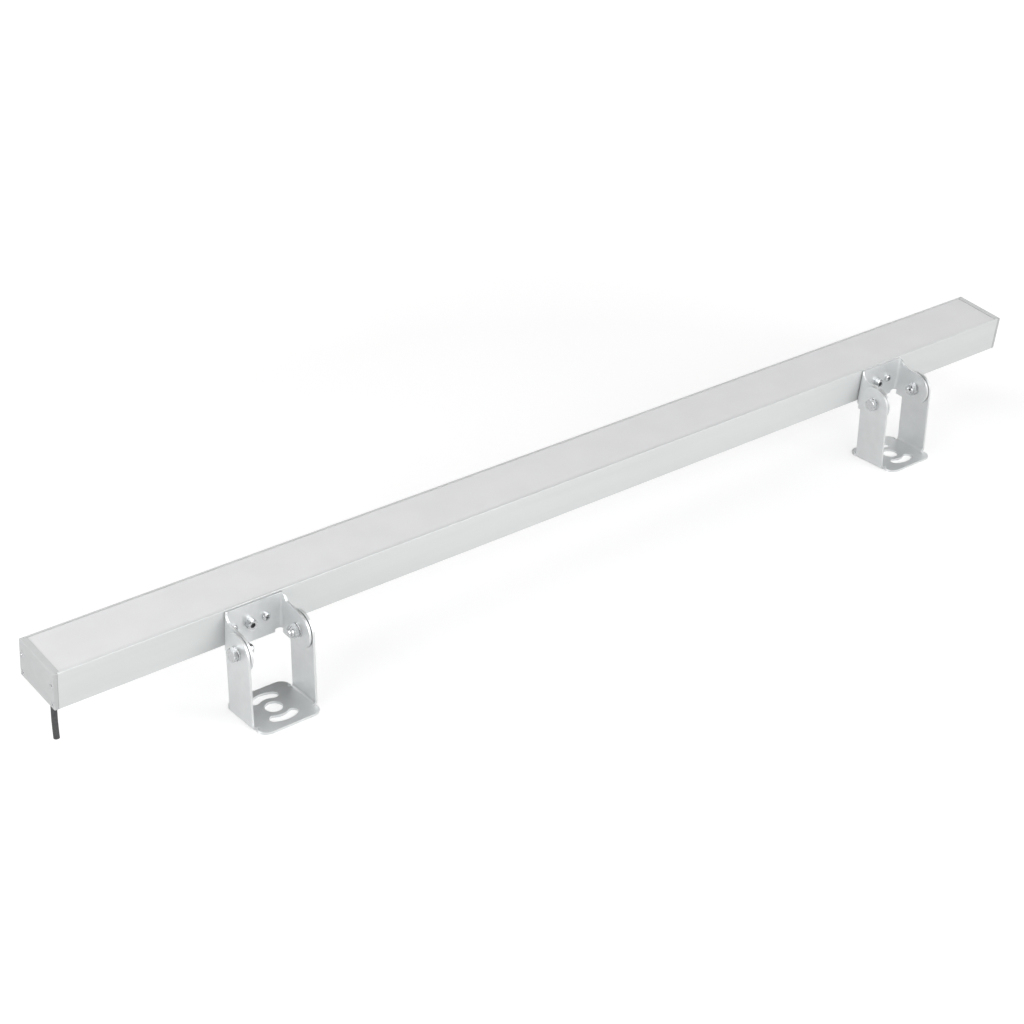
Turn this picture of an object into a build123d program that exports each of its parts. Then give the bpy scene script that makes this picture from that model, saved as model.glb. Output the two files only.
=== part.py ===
from build123d import *
from math import cos, radians, sin, tan
import os

# A slim linear light on two tilting brackets. Lengths are in millimetres, angles in degrees.
# The origin is on the mounting surface, midway between the two bracket holes. X runs along
# the light, Y goes from the bracket side to the far side, Z goes up from the surface.

# The light as a whole
lamp_length = 1000
housing_width = 50
housing_height = 32
rest_tilt = 6.5
bracket_from_end = 164
pivot_height = 60.5
pivot_reach = 23.5
pivot_drop = 22.0
sheet = 2.0
overrun = 5

# Housing extrusion
wall = 1.8
floor_thickness = 1.8
shelf_height = 8.2
shelf_thickness = 1.4
housing_corner = 0.6
bead_depth = 1.3
bead_thickness = 1.8
port_radius = 2.3
port_bore = 1.25
port_slit = 1.0
port_inset = 3.6
lower_port_height = 3.8
upper_port_height = 20.4

# Diffuser
diffuser_thickness = 2.2
diffuser_recess = 0.4
diffuser_gap = 0.4
leg_thickness = 1.2
leg_length = 3.4
barb_depth = 0.8
barb_height = 1.4
clip_clearance = 0.2

# End caps, gaskets and their screws
cap_thickness = 3.0
cap_edge = 0.4
cap_bar_depth = 2.0
cap_bar_clearance = 0.3
gasket_thickness = 0.5
gasket_inset = 0.2
gasket_width = 7.0
cap_screw_head_radius = 2.6
cap_screw_length = 12.0
cap_screw_play = 0.3
countersink_clearance = 0.05
thread_clearance = 0.05

# LED boards
board_width = 24.0
board_thickness = 1.5
board_gap = 4.0
board_end_gap = 6.2
led_spacing = 14.0
led_length = 3.5
led_width = 2.8
led_height = 0.8
board_screw_from_end = 24.0
board_screw_gauge = 17.0
board_screw_head_radius = 2.6
board_screw_head_height = 1.5
board_screw_radius = 1.4
board_screw_tail = 0.4
link_length = 16.0
link_width = 5.0
link_height = 3.2
link_side = 5.0
link_round = 0.5

# Driver in the lower chamber
driver_length = 150.0
driver_width = 26.0
driver_thickness = 1.0
driver_from_end = 38.0
pad_thickness = 0.5
pad_margin = 1.5
terminal_length = 9.0
terminal_width = 8.0
terminal_height = 4.2
wire_entry_height = 2.8
choke_radius = 6.0
choke_bore = 2.0
choke_height = 4.0
choke_from_terminal = 18.0
capacitor_radius = 2.0
capacitor_length = 12.0
capacitor_spacing = 6.0
chip_size = 6.0
chip_height = 1.6
chip_spacing = 12.0
chip_from_middle = 12.0

# Supply cable, its sleeve in the floor, and the wires
cable_radius = 2.4
cable_from_end = 12.0
sheath_above_floor = 2.6
sleeve_clearance = 0.1
sleeve_flange_radius = 5.2
sleeve_flange_thickness = 1.2
sleeve_neck_radius = 4.0
sleeve_root_radius = 4.5
sleeve_tip_radius = 3.3
sleeve_length = 14.0
cable_first_run = 10.0
cable_steps = [(0.0, 0.6, -12.0), (0.0, -0.3, -10.0)]
wire_radius = 0.7
wire_bend = 1.6
core_spacing = 2.2
lead_spacing = 2.4
lead_reach = 7.0
lead_tail = 6.0
lead_side = 8.0
lead_hole_radius = 2.6

# Ear brackets on the near side face
ear_bend = 2.2
ear_gap = 0.8
ear_nose_radius = 15.2
ear_shoulder = 5.0
web_top_drop = 0.5
web_overhang = 4.2
web_corner = 2.2
notch_width = 7.3
notch_top = -1.3

# Web fasteners and nut plates, which sit off the middle of the web, towards the cable's end
web_fastener_offset = -4.2
web_screw_height = 14.5
web_screw_clearance = 0.1
web_bolt_radius = 2.5
web_bolt_head_radius = 4.25
web_bolt_head_height = 5.0
web_bolt_edge = 0.4
web_bolt_length = 9.0
hex_key_size = 4.0
hex_key_depth = 2.5
web_screw_radius = 2.0
web_screw_head_radius = 3.5
web_screw_head_height = 2.4
web_screw_length = 8.0
web_screw_play = 0.3
nut_plate_length = 42.0
nut_plate_width = 7.2
nut_plate_thickness = 3.0
nut_plate_drop = 0.4

# Drive recess of the crossed screws, as shares of the head they are cut in
cross_length_share = 1.15
cross_width_share = 0.28
cross_depth_share = 0.6
pan_round_share = 0.5

# Base brackets
base_width = 54.0
base_depth = 54.0
base_corner = 9.0
arm_width = 31.0
arm_spacing = 58.0
arm_bend = 2.0
relief_slit = 2.0
relief_inset = 3.5
centre_hole_radius = 7.0
arc_slot_radius = 16.0
arc_slot_width = 8.0
arc_slot_half_angle = 31
arc_slot_direction = 90

# Pivot bolts, washers and nuts
pivot_bolt_radius = 3.0
pivot_play = 0.08
bolt_head_across = 10.0
bolt_head_height = 4.0
bolt_tail = 1.3
bolt_tip_edge = 0.5
hex_edge = 0.5
washer_radius = 6.0
washer_play = 0.2
washer_thickness = 1.6
nut_height = 6.0
nut_collar_height = 1.6
nut_collar_radius = 4.3
nut_collar_edge = 0.6

# Worked out from the sizes above. In the light's own frame heights are measured up from its
# underside, widths from its middle and stations along it from its middle.
hands = {"left": -1, "right": 1}
bracket_spacing = lamp_length - 2 * bracket_from_end
housing_length = lamp_length - 2 * (cap_thickness + gasket_thickness)
inner_half = housing_width / 2 - wall
shelf_top = shelf_height + shelf_thickness
diffuser_top = housing_height - diffuser_recess
diffuser_bottom = diffuser_top - diffuser_thickness
bead_inner = inner_half - bead_depth
bead_bottom = diffuser_bottom - bead_thickness
leg_outer = bead_inner - clip_clearance
leg_bottom = diffuser_bottom - leg_length
cap_bar_height = diffuser_recess + diffuser_thickness - clip_clearance
diffuser_length = housing_length - 2 * (cap_bar_depth + clip_clearance)
port_side = housing_width / 2 - port_inset
port_heights = (lower_port_height, upper_port_height)
port_places = [(side * port_side, height) for side in (-1, 1) for height in port_heights]

board_top = shelf_top + board_thickness
board_length = housing_length / 2 - board_end_gap - board_gap / 2
board_middle = (board_gap + board_length) / 2
board_screw_spacing = (board_length - 2 * board_screw_from_end) / 2
led_count = int(board_length // led_spacing)

driver_start = driver_from_end - lamp_length / 2
driver_end = driver_start + driver_length
driver_middle = (driver_start + driver_end) / 2
driver_bottom = floor_thickness + pad_thickness
driver_top = driver_bottom + driver_thickness
terminal_offset = (driver_length - terminal_length) / 2
wire_height = driver_top + wire_entry_height
lead_station = driver_end + lead_reach
cable_station = cable_from_end - lamp_length / 2

pivot_side = -housing_width / 2 - pivot_reach
pivot_level = housing_height - pivot_drop
pivot_hole_radius = pivot_bolt_radius + pivot_play
web_face = -housing_width / 2 - sheet
web_top = housing_height - web_top_drop
arm_inner = arm_spacing / 2 - sheet
ear_outer = arm_inner - ear_gap
ear_inner = ear_outer - sheet
ear_flat = ear_inner - ear_bend
ear_top = pivot_level + ear_nose_radius
ear_bottom = pivot_level - ear_nose_radius
web_screw_reach = ear_flat + web_fastener_offset - web_screw_clearance
web_screw_spacing = 2 * (web_screw_reach - web_screw_head_radius)
hex_corner = bolt_head_across / 2 / cos(radians(30))
head_seat = arm_spacing / 2 + washer_thickness
nut_seat = ear_inner - washer_thickness
nut_end = nut_seat - nut_height
nut_hex_end = nut_end + nut_collar_height
bolt_tip = nut_end - bolt_tail

# The light is tilted about the pivot line; its own frame sits on the middle of its underside.
pivot_frame = Plane(
    origin=(0, 0, pivot_height),
    x_dir=(1, 0, 0),
    z_dir=(0, -sin(radians(rest_tilt)), cos(radians(rest_tilt))),
)
lamp = Plane(
    origin=pivot_frame.from_local_coords((0, -pivot_side, -pivot_level)),
    x_dir=pivot_frame.x_dir,
    z_dir=pivot_frame.z_dir,
)
lamp_depth = Axis(lamp.origin, lamp.y_dir)

os.makedirs("parts", exist_ok=True)


def level(height, station=0, side=0):
    """Plane parallel to the underside, at a height above it, facing up."""
    return Plane(lamp.from_local_coords((station, side, height)), x_dir=lamp.x_dir, z_dir=lamp.z_dir)


def section(station, height=0):
    """Plane across the light: its x is the light's width, its y the light's height."""
    return Plane(lamp.from_local_coords((station, 0, height)), x_dir=lamp.y_dir, z_dir=lamp.x_dir)


def end_face(sign, inset=0):
    """Plane across an end of the light, facing outwards, its y up the light's height."""
    middle = lamp.from_local_coords((sign * (lamp_length / 2 - inset), 0, 0))
    return Plane(middle, x_dir=lamp.y_dir * sign, z_dir=lamp.x_dir * sign)


def near_face(side, station=0, height=0):
    """Plane parallel to the near side face, facing the brackets, its y up the light's height."""
    return Plane(lamp.from_local_coords((station, side, height)), x_dir=lamp.x_dir, z_dir=-lamp.y_dir)


def pivot_section(station):
    """Plane square to the pivot line, centred on it: its x is depth, its y height."""
    return Plane((station, 0, pivot_height), x_dir=(0, 1, 0), z_dir=(1, 0, 0))


def fastener_station(sign):
    """Station of the middle screw of a web."""
    return sign * bracket_spacing / 2 + web_fastener_offset


def cross_recess(head_radius):
    """Draw the crossed drive recess of a screw head at the current locations."""
    bar = head_radius * cross_length_share
    Rectangle(bar, head_radius * cross_width_share)
    Rectangle(head_radius * cross_width_share, bar)


def save(piece, name):
    """Label a finished piece and write its STEP file."""
    piece.part.label = name
    export_step(piece.part, f"parts/{name}.step")


# Housing: one extrusion with a wiring chamber below, a shelf for the LED boards, four screw
# ports and a bead along each lip that the diffuser snaps behind.
with BuildPart() as housing:
    with BuildSketch(section(-housing_length / 2)):
        with Locations((0, housing_height / 2)):
            RectangleRounded(housing_width, housing_height, housing_corner)
        with Locations((0, shelf_top)):
            Rectangle(
                2 * inner_half, housing_height, align=(Align.CENTER, Align.MIN), mode=Mode.SUBTRACT
            )
        with Locations((0, (floor_thickness + shelf_height) / 2)):
            Rectangle(2 * inner_half, shelf_height - floor_thickness, mode=Mode.SUBTRACT)
        with Locations(*[(side * (bead_inner + inner_half) / 2, diffuser_bottom) for side in (-1, 1)]):
            Rectangle(bead_depth, bead_thickness, align=(Align.CENTER, Align.MAX))
        with Locations(*port_places):
            Circle(port_radius)
            Circle(port_bore, mode=Mode.SUBTRACT)
        # each port is slit towards the middle of the light
        for side, inward in ((-1, Align.MIN), (1, Align.MAX)):
            with Locations(*[(side * port_side, height) for height in port_heights]):
                Rectangle(port_inset, port_slit, align=(inward, Align.CENTER), mode=Mode.SUBTRACT)
    extrude(amount=housing_length)
    with BuildSketch(level(0, cable_station)):
        Circle(sleeve_neck_radius + sleeve_clearance)
    extrude(amount=floor_thickness, mode=Mode.SUBTRACT)
    with BuildSketch(level(shelf_height, lead_station, lead_side)):
        Circle(lead_hole_radius)
    extrude(amount=shelf_thickness, mode=Mode.SUBTRACT)
    for sign in hands.values():
        with BuildSketch(level(shelf_height, sign * board_middle)):
            with GridLocations(board_screw_spacing, board_screw_gauge, 3, 2):
                Circle(board_screw_radius + thread_clearance)
        extrude(amount=shelf_thickness, mode=Mode.SUBTRACT)
        with BuildSketch(near_face(-housing_width / 2, fastener_station(sign), web_screw_height)):
            Circle(web_bolt_radius + web_screw_play)
            with GridLocations(web_screw_spacing, web_screw_spacing, 2, 1):
                Circle(web_screw_radius + web_screw_play)
        extrude(amount=-wall, mode=Mode.SUBTRACT)
save(housing, "housing")

# Diffuser: a frosted strip on two legs whose barbs catch under the beads.
with BuildPart() as diffuser:
    with BuildSketch(section(-diffuser_length / 2)):
        with Locations((0, diffuser_bottom)):
            Rectangle(
                2 * (inner_half - diffuser_gap), diffuser_thickness, align=(Align.CENTER, Align.MIN)
            )
        for side, inward, outward in ((-1, Align.MIN, Align.MAX), (1, Align.MAX, Align.MIN)):
            with Locations((side * leg_outer, leg_bottom)):
                Rectangle(leg_thickness, leg_length, align=(inward, Align.MIN))
            with Locations((side * leg_outer, bead_bottom - clip_clearance)):
                Rectangle(barb_depth, barb_height, align=(outward, Align.MAX))
    extrude(amount=diffuser_length)
save(diffuser, "diffuser")


def make_end_cap(sign):
    """End cap: a plate over the whole section, with a bar that closes the end between the lips."""
    with BuildPart() as cap:
        with BuildSketch(end_face(sign, cap_thickness)):
            with Locations((0, housing_height / 2)):
                RectangleRounded(housing_width, housing_height, housing_corner)
        extrude(amount=cap_thickness)
        outer_face = cap.faces().sort_by(Axis.X, reverse=sign < 0)[-1]
        chamfer(outer_face.edges(), length=cap_edge)
        with BuildSketch(end_face(sign, cap_thickness)):
            with Locations((0, housing_height)):
                Rectangle(
                    2 * (inner_half - cap_bar_clearance),
                    cap_bar_height,
                    align=(Align.CENTER, Align.MAX),
                )
        extrude(amount=-(gasket_thickness + cap_bar_depth))
        with Locations(end_face(sign)):
            with Locations(*port_places):
                CounterSinkHole(
                    radius=port_bore + cap_screw_play,
                    counter_sink_radius=cap_screw_head_radius + countersink_clearance,
                    depth=cap_thickness + overrun,
                    counter_sink_angle=90,
                )
    return cap


def make_gasket(sign):
    """Gasket: a soft frame between cap and extrusion, open at the top where the bar passes."""
    with BuildPart() as gasket:
        with BuildSketch(end_face(sign, cap_thickness)):
            with Locations((0, housing_height / 2)):
                Rectangle(housing_width - 2 * gasket_inset, housing_height - 2 * gasket_inset)
                Rectangle(
                    housing_width - 2 * gasket_width,
                    housing_height - 2 * gasket_width,
                    mode=Mode.SUBTRACT,
                )
            with Locations((0, housing_height)):
                Rectangle(
                    2 * inner_half,
                    diffuser_recess + diffuser_thickness,
                    align=(Align.CENTER, Align.MAX),
                    mode=Mode.SUBTRACT,
                )
            with Locations(*port_places):
                Circle(port_bore + cap_screw_play, mode=Mode.SUBTRACT)
        extrude(amount=-gasket_thickness)
    return gasket


def make_cap_screws(sign):
    """Four countersunk screws that hold an end cap to the housing's screw ports."""
    shank_radius = port_bore - thread_clearance
    head_depth = cap_screw_head_radius - shank_radius
    with BuildPart() as screws:
        with Locations(end_face(sign)):
            with Locations(*port_places):
                Cone(
                    shank_radius,
                    cap_screw_head_radius,
                    head_depth,
                    align=(Align.CENTER, Align.CENTER, Align.MAX),
                )
        with BuildSketch(end_face(sign, head_depth)):
            with Locations(*port_places):
                Circle(shank_radius)
        extrude(amount=head_depth - cap_screw_length)
        with BuildSketch(end_face(sign)):
            with Locations(*port_places):
                cross_recess(cap_screw_head_radius)
        extrude(amount=-head_depth * cross_depth_share, mode=Mode.SUBTRACT)
    return screws


for hand, sign in hands.items():
    save(make_end_cap(sign), f"end_cap_{hand}")
    save(make_gasket(sign), f"end_gasket_{hand}")
    save(make_cap_screws(sign), f"end_cap_screws_{hand}")


def make_board(sign):
    """LED board: an aluminium strip screwed flat on the shelf."""
    with BuildPart() as board:
        with BuildSketch(level(shelf_top, sign * board_middle)):
            Rectangle(board_length, board_width)
            with GridLocations(board_screw_spacing, board_screw_gauge, 3, 2):
                Circle(board_screw_radius + thread_clearance, mode=Mode.SUBTRACT)
        extrude(amount=board_thickness)
        if sign < 0:
            with BuildSketch(level(shelf_top, lead_station, lead_side)):
                Circle(lead_hole_radius)
            extrude(amount=board_thickness, mode=Mode.SUBTRACT)
    return board


def make_leds(sign):
    """One straight row of LEDs along the middle of a board."""
    with BuildPart() as leds:
        with BuildSketch(level(board_top, sign * board_middle)):
            with GridLocations(led_spacing, led_width, led_count, 1):
                Rectangle(led_length, led_width)
        extrude(amount=led_height)
    return leds


for hand, sign in hands.items():
    save(make_board(sign), f"led_board_{hand}")
    save(make_leds(sign), f"leds_{hand}")

# Board screws: pan heads on the boards, threaded into the shelf.
with BuildPart() as board_screws:
    for sign in hands.values():
        with BuildSketch(level(board_top, sign * board_middle)):
            with GridLocations(board_screw_spacing, board_screw_gauge, 3, 2):
                Circle(board_screw_head_radius)
        extrude(amount=board_screw_head_height)
        with BuildSketch(level(board_top, sign * board_middle)):
            with GridLocations(board_screw_spacing, board_screw_gauge, 3, 2):
                Circle(board_screw_radius)
        extrude(amount=-(board_thickness + shelf_thickness + board_screw_tail))
        with BuildSketch(level(board_top + board_screw_head_height, sign * board_middle)):
            with GridLocations(board_screw_spacing, board_screw_gauge, 3, 2):
                cross_recess(board_screw_head_radius)
        extrude(amount=-board_screw_head_height * cross_depth_share, mode=Mode.SUBTRACT)
save(board_screws, "board_screws")

# Board link: a small connector that bridges the gap between the two boards.
with BuildPart() as board_link:
    with BuildSketch(level(board_top, 0, -link_side)):
        Rectangle(link_length, link_width)
    extrude(amount=link_height)
    fillet(board_link.faces().sort_by(Axis.Z)[-1].edges(), radius=link_round)
save(board_link, "board_link")

# Driver: a bare board on an insulating pad, stuck to the floor of the wiring chamber.
with BuildPart() as driver_pad:
    with BuildSketch(level(floor_thickness, driver_middle)):
        Rectangle(driver_length + 2 * pad_margin, driver_width + 2 * pad_margin)
    extrude(amount=pad_thickness)
save(driver_pad, "driver_pad")

with BuildPart() as driver_board:
    with BuildSketch(level(driver_bottom, driver_middle)):
        Rectangle(driver_length, driver_width)
    extrude(amount=driver_thickness)
save(driver_board, "driver_board")

# On the driver board: a terminal block at each end, two chokes, three capacitors lying on
# their sides and four chips.
with BuildPart() as driver_components:
    with BuildSketch(level(driver_top, driver_middle)):
        with Locations((-terminal_offset, 0), (terminal_offset, lead_side)):
            Rectangle(terminal_length, terminal_width)
    extrude(amount=terminal_height)
    with BuildSketch(level(driver_top, driver_middle)):
        with GridLocations(2 * (terminal_offset - choke_from_terminal), choke_radius, 2, 1):
            Circle(choke_radius)
            Circle(choke_bore, mode=Mode.SUBTRACT)
    extrude(amount=choke_height)
    with BuildSketch(section(driver_middle, driver_top + capacitor_radius)):
        with GridLocations(capacitor_spacing, capacitor_radius, 3, 1):
            Circle(capacitor_radius)
    extrude(amount=capacitor_length)
    with BuildSketch(level(driver_top, driver_middle - chip_from_middle)):
        with GridLocations(chip_spacing, chip_spacing, 2, 2):
            Rectangle(chip_size, chip_size)
    extrude(amount=chip_height)
save(driver_components, "driver_components")

# Sleeve of the supply cable: flanged on both sides of the floor, tapering outwards.
with BuildPart() as strain_relief:
    with BuildSketch(level(floor_thickness, cable_station)):
        Circle(sleeve_flange_radius)
    extrude(amount=sleeve_flange_thickness)
    with BuildSketch(level(0, cable_station)):
        Circle(sleeve_neck_radius)
    extrude(amount=floor_thickness)
    with BuildSketch(level(0, cable_station)):
        Circle(sleeve_flange_radius)
    extrude(amount=-sleeve_flange_thickness)
    with BuildSketch(level(-sleeve_flange_thickness, cable_station)):
        Circle(sleeve_root_radius)
    with BuildSketch(level(-sleeve_length, cable_station)):
        Circle(sleeve_tip_radius)
    loft()
    with BuildSketch(level(-sleeve_length, cable_station)):
        Circle(cable_radius + sleeve_clearance)
    extrude(amount=sleeve_length + floor_thickness + sleeve_flange_thickness, mode=Mode.SUBTRACT)
save(strain_relief, "strain_relief")

# Inner stretch of the cable, from the sleeve's tip up into the wiring chamber.
sheath_top = floor_thickness + sheath_above_floor
with BuildPart() as supply_cable_inner:
    with BuildSketch(level(-sleeve_length, cable_station)):
        Circle(cable_radius)
    extrude(amount=sleeve_length + sheath_top)
save(supply_cable_inner, "supply_cable_inner")


def make_wires(stops, middle, spacing):
    """Two round wires side by side along one bent route of (station, height) stops."""
    with BuildPart() as wires:
        for side in (middle - spacing / 2, middle + spacing / 2):
            with BuildLine() as route:
                FilletPolyline(
                    *[lamp.from_local_coords((station, side, height)) for station, height in stops],
                    radius=wire_bend,
                )
            with BuildSketch(Plane(origin=route.line @ 0, z_dir=route.line % 0)):
                Circle(wire_radius)
            sweep()
    return wires


# Supply cores: from the end of the sheath over to the driver's input terminals.
core_stops = [(cable_station, sheath_top), (cable_station, wire_height), (driver_start, wire_height)]
save(make_wires(core_stops, 0, core_spacing), "supply_cores")

# Driver leads: from the output terminals up through shelf and board, and down flat on its pads.
landing = board_top + wire_radius
lead_stops = [
    (driver_end, wire_height),
    (lead_station, wire_height),
    (lead_station, landing),
    (lead_station + lead_tail, landing),
]
save(make_wires(lead_stops, lead_side, lead_spacing), "driver_leads")

# Supply cable, the free stretch: it leaves the sleeve square to the underside, then turns to
# hang straight down to its cut end.
cable_points = [
    lamp.from_local_coords((cable_station, 0, -sleeve_length)),
    lamp.from_local_coords((cable_station, 0, -sleeve_length - cable_first_run)),
]
for step in cable_steps:
    cable_points.append(cable_points[-1] + Vector(*step))
cable_radii = []
for before, corner, after in zip(cable_points, cable_points[1:], cable_points[2:]):
    turn = (corner - before).get_angle(after - corner)
    shorter_run = min((corner - before).length, (after - corner).length)
    cable_radii.append(0.45 * shorter_run / tan(radians(turn / 2)))
with BuildPart() as supply_cable:
    with BuildLine() as cable_path:
        FilletPolyline(*cable_points, radius=cable_radii)
    with BuildSketch(Plane(origin=cable_path.line @ 0, z_dir=cable_path.line % 0)):
        Circle(cable_radius)
    sweep()
print("cable radii", [round(radius, 1) for radius in cable_radii])
print("cable length", round(cable_path.wire().length, 2), "volume", round(supply_cable.part.volume, 1))
save(supply_cable, "supply_cable")


def make_ear_bracket(sign):
    """Ear bracket: a web on the near side face and two ears folded out to the pivot line."""
    station = sign * bracket_spacing / 2
    fold = ear_outer - sheet / 2
    nose = pivot_side - ear_nose_radius
    with BuildPart() as bracket:
        with BuildSketch(level(ear_bottom, station)):
            with BuildLine():
                FilletPolyline(
                    (-fold, nose),
                    (-fold, web_face + sheet / 2),
                    (fold, web_face + sheet / 2),
                    (fold, nose),
                    radius=ear_bend + sheet / 2,
                )
            trace(line_width=sheet)
        extrude(amount=web_top - ear_bottom)
        # side outline: round noses about the pivot, a slope up to the web's top
        with BuildSketch(section(station)):
            with Locations((pivot_side, pivot_level)):
                Circle(ear_nose_radius)
                Rectangle(pivot_reach, 2 * ear_nose_radius, align=(Align.MIN, Align.CENTER))
            with BuildLine():
                Polyline(
                    (web_face - ear_shoulder, ear_top),
                    (web_face, ear_top + ear_shoulder),
                    (web_face, web_top),
                    (web_face + sheet, web_top),
                    (web_face + sheet, pivot_level),
                    (web_face - ear_shoulder, pivot_level),
                    close=True,
                )
            make_face()
        extrude(amount=ear_outer, both=True, mode=Mode.INTERSECT)
        # web outline: bevelled top corners, and notches that free the folds at the bottom
        with BuildSketch(near_face(web_face - ear_bend, station)):
            with Locations((0, notch_top)):
                Rectangle(
                    2 * ear_outer + overrun,
                    notch_top - ear_bottom + overrun,
                    align=(Align.CENTER, Align.MAX),
                )
                Rectangle(
                    2 * (ear_outer - notch_width),
                    notch_top + web_overhang,
                    align=(Align.CENTER, Align.MAX),
                    mode=Mode.SUBTRACT,
                )
            for side in (-1, 1):
                with BuildLine():
                    Polyline(
                        (side * ear_outer, web_top),
                        (side * (ear_outer - web_corner), web_top),
                        (side * ear_outer, web_top - web_corner),
                        close=True,
                    )
                make_face()
        extrude(amount=-(sheet + ear_bend), mode=Mode.SUBTRACT)
        with BuildSketch(near_face(web_face, fastener_station(sign), web_screw_height)):
            Circle(web_bolt_radius + web_screw_play)
            with GridLocations(web_screw_spacing, web_screw_spacing, 2, 1):
                Circle(web_screw_radius + web_screw_play)
        extrude(amount=-sheet, mode=Mode.SUBTRACT)
        with BuildSketch(pivot_section(station)):
            Circle(pivot_hole_radius)
        extrude(amount=ear_outer, both=True, mode=Mode.SUBTRACT)
    return bracket


def make_web_bolt(sign):
    """Socket cap screw between the two smaller screws of a web."""
    station = fastener_station(sign)
    with BuildPart() as bolt:
        with BuildSketch(near_face(web_face, station, web_screw_height)):
            Circle(web_bolt_head_radius)
        extrude(amount=web_bolt_head_height)
        outer_face = bolt.faces().sort_by(lamp_depth)[0]
        chamfer(outer_face.edges(), length=web_bolt_edge)
        with BuildSketch(near_face(web_face, station, web_screw_height)):
            Circle(web_bolt_radius)
        extrude(amount=-web_bolt_length)
        with BuildSketch(near_face(web_face - web_bolt_head_height, station, web_screw_height)):
            RegularPolygon(hex_key_size / 2, 6, major_radius=False)
        extrude(amount=-hex_key_depth, mode=Mode.SUBTRACT)
    return bolt


def make_web_screws(sign):
    """Two pan head screws, one on each side of the web's middle screw."""
    station = fastener_station(sign)
    with BuildPart() as screws:
        with BuildSketch(near_face(web_face, station, web_screw_height)):
            with GridLocations(web_screw_spacing, web_screw_spacing, 2, 1):
                Circle(web_screw_head_radius)
        extrude(amount=web_screw_head_height)
        rims = screws.edges().group_by(lamp_depth)[0]
        fillet(rims, radius=web_screw_head_height * pan_round_share)
        with BuildSketch(near_face(web_face, station, web_screw_height)):
            with GridLocations(web_screw_spacing, web_screw_spacing, 2, 1):
                Circle(web_screw_radius)
        extrude(amount=-web_screw_length)
        with BuildSketch(near_face(web_face - web_screw_head_height, station, web_screw_height)):
            with GridLocations(web_screw_spacing, web_screw_spacing, 2, 1):
                cross_recess(web_screw_head_radius)
        extrude(amount=-web_screw_head_height * cross_depth_share, mode=Mode.SUBTRACT)
    return screws


def make_nut_plate(sign):
    """Tapped bar behind the near wall that the web's screws pull against."""
    station = fastener_station(sign)
    with BuildPart() as plate:
        with BuildSketch(near_face(-inner_half, station, web_screw_height)):
            with Locations((0, -nut_plate_drop)):
                Rectangle(nut_plate_length, nut_plate_width)
            Circle(web_bolt_radius + thread_clearance, mode=Mode.SUBTRACT)
            with GridLocations(web_screw_spacing, web_screw_spacing, 2, 1):
                Circle(web_screw_radius + thread_clearance, mode=Mode.SUBTRACT)
        extrude(amount=-nut_plate_thickness)
    return plate


def make_base_bracket(sign):
    """Base bracket: a rounded plate on the mounting surface with two round-topped arms."""
    station = sign * bracket_spacing / 2
    fold = arm_inner + sheet / 2
    arm_top = pivot_height + arm_width / 2
    with BuildPart() as bracket:
        with BuildSketch(Plane((station, 0, 0), x_dir=(1, 0, 0), z_dir=(0, -1, 0))):
            with BuildLine():
                FilletPolyline(
                    (-fold, arm_top),
                    (-fold, sheet / 2),
                    (fold, sheet / 2),
                    (fold, arm_top),
                    radius=arm_bend + sheet / 2,
                )
            trace(line_width=sheet)
        extrude(amount=arm_width / 2, both=True)
        with BuildSketch(pivot_section(station)):
            Circle(arm_width / 2)
            Rectangle(arm_width, pivot_height, align=(Align.CENTER, Align.MAX))
        extrude(amount=arm_spacing, both=True, mode=Mode.INTERSECT)
        # plate, let in beside the arms so that they fold cleanly
        with BuildSketch(Plane((station, 0, 0))):
            RectangleRounded(base_width, base_depth, base_corner)
            Rectangle(base_width, arm_width + 2 * relief_slit, mode=Mode.SUBTRACT)
            Rectangle(base_width - 2 * relief_inset, arm_width + 2 * relief_slit)
        extrude(amount=sheet)
        with BuildSketch(Plane((station, 0, 0))):
            Circle(centre_hole_radius)
            with PolarLocations(0, 2, start_angle=arc_slot_direction):
                SlotArc(
                    Edge.make_circle(
                        arc_slot_radius,
                        start_angle=-arc_slot_half_angle,
                        end_angle=arc_slot_half_angle,
                    ),
                    arc_slot_width,
                )
        extrude(amount=sheet, mode=Mode.SUBTRACT)
        with BuildSketch(pivot_section(station)):
            Circle(pivot_hole_radius)
        extrude(amount=arm_spacing, both=True, mode=Mode.SUBTRACT)
    return bracket


def make_hex_pair(station, outline):
    """Two hexagonal pieces, one per arm, turned from an (along, radius) outline."""
    profile = Plane((station, 0, pivot_height), x_dir=(1, 0, 0), z_dir=(0, -1, 0))
    with BuildPart() as pair:
        with BuildSketch(profile):
            with BuildLine():
                Polyline(*outline, close=True)
            make_face()
        revolve(axis=Axis(profile.origin, profile.x_dir))
        mirror(about=pivot_section(station))
        with BuildSketch(pivot_section(station)):
            RegularPolygon(bolt_head_across / 2, 6, major_radius=False)
        extrude(amount=head_seat + bolt_head_height, both=True, mode=Mode.INTERSECT)
    return pair


def make_washers(station):
    """Six plain washers: outside each arm, inside each ear, and a thin one between the two."""
    with BuildPart() as washers:
        for start, thickness in (
            (arm_spacing / 2, washer_thickness),
            (ear_outer, ear_gap),
            (nut_seat, washer_thickness),
        ):
            with BuildSketch(pivot_section(station + start)):
                Circle(washer_radius)
                Circle(pivot_bolt_radius + washer_play, mode=Mode.SUBTRACT)
            extrude(amount=thickness)
        mirror(about=pivot_section(station))
    return washers


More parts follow.
